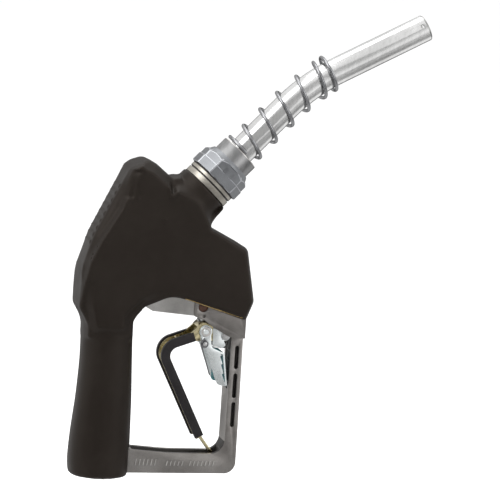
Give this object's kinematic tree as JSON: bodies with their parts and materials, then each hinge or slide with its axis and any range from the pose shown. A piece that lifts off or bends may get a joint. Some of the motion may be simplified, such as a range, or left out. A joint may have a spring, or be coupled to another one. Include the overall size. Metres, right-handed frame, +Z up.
{
  "type": "fuel nozzle",
  "caption": "Hand-held fuel dispensing nozzle with a rubbery grip jacket, hand lever with a hold-open clip, cast lever guard and a bent spout with an anchor spring.",
  "frame": {"origin": "centre of the hose inlet's end face, at the foot of the handle", "axes": "+Z up along the handle, +X from the handle towards the lever, the guard and the spout; Y = 0 is the plane of the lever and the spout"},
  "size_m": [0.2654, 0.052, 0.3615],
  "materials": {
    "cast_aluminium": "as cast, satin",
    "polished_aluminium": "polished",
    "anodised_aluminium": "matte anodised",
    "vinyl": "satin, dipped soft vinyl",
    "zinc_steel": "bright zinc plated",
    "yellow_zinc_steel": "yellow zinc plated",
    "stainless": "turned",
    "spring_steel": "bright drawn wire",
    "brass": "turned",
    "seal_rubber": "matte",
    "acetal": "moulded"
  },
  "bodies": {
    "nozzle": {"valve_body": "cast_aluminium", "lever_guard": "cast_aluminium", "latch_strip": "acetal", "guard_pin": "zinc_steel", "guard_screw": "zinc_steel", "side_plug": "brass", "jacket": "vinyl", "valve_seat": "brass", "packing_nut": "brass", "packing_rings": "seal_rubber", "main_spring": "spring_steel", "poppet_cap": "cast_aluminium", "latch_sleeve": "stainless", "plunger_spring": "spring_steel", "diaphragm": "seal_rubber", "diaphragm_cap": "cast_aluminium", "diaphragm_spring": "spring_steel", "cap_screws": "zinc_steel", "inlet_strainer": "stainless", "spout_nut": "anodised_aluminium", "spout_bushing": "polished_aluminium", "bushing_seal": "seal_rubber", "check_seat": "brass", "check_guide": "acetal", "check_spring": "spring_steel", "spout_tube": "polished_aluminium", "vent_tube": "polished_aluminium", "anchor_spring": "spring_steel"},
    "plunger": {"trip_plunger": "stainless", "fulcrum_pin": "zinc_steel", "latch_balls": "stainless"},
    "lever": {"lever": "yellow_zinc_steel", "lever_cover": "vinyl", "fulcrum_bracket": "zinc_steel", "lever_rivet": "zinc_steel"},
    "clip": {"hold_open_clip": "zinc_steel", "clip_spring": "spring_steel", "spring_stud": "zinc_steel"},
    "valve_stem": {"valve_stem": "stainless", "poppet_seal": "seal_rubber", "poppet": "brass", "poppet_nut": "zinc_steel"},
    "check_valve": {"check_poppet": "acetal", "check_seal": "seal_rubber"},
    "latch": {"latch_pin": "stainless", "diaphragm_plate": "zinc_steel"}
  },
  "joints": [
    {"name": "plunger_slide", "type": "slide", "parent": "nozzle", "child": "plunger", "axis": [0, 0, -1], "range_m": [0, 0.007], "stiffness_N_per_m": 900, "springref_m": -0.006, "deforming": ["plunger_spring"]},
    {"name": "lever_hinge", "type": "hinge", "parent": "plunger", "child": "lever", "pos_m": [0.091, 0, 0.1105], "axis": [0, 1, 0], "range_deg": [0, 30], "stiffness_Nm_per_rad": 0.5, "springref_deg": -28.65},
    {"name": "clip_hinge", "type": "hinge", "parent": "lever", "child": "clip", "pos_m": [0.0754, 0, 0.1138], "axis": [0, 1, 0], "range_deg": [-1.5, 20], "stiffness_Nm_per_rad": 0.04, "springref_deg": -28.65},
    {"name": "stem_slide", "type": "slide", "parent": "nozzle", "child": "valve_stem", "axis": [-0.4226, 0, 0.9063], "range_m": [0, 0.0056], "deforming": ["main_spring"]},
    {"name": "check_slide", "type": "slide", "parent": "nozzle", "child": "check_valve", "axis": [0.682, 0, 0.7314], "range_m": [0, 0.004], "stiffness_N_per_m": 150, "springref_m": -0.004, "deforming": ["check_spring"]},
    {"name": "latch_slide", "type": "slide", "parent": "nozzle", "child": "latch", "axis": [0, 0, 1], "range_m": [0, 0.002], "stiffness_N_per_m": 300, "springref_m": -0.003, "deforming": ["diaphragm_spring"]}
  ],
  "couplings": [
    {"joint": "stem_slide", "follows": "lever_hinge", "m_per_rad": 0.010695}
  ]
}
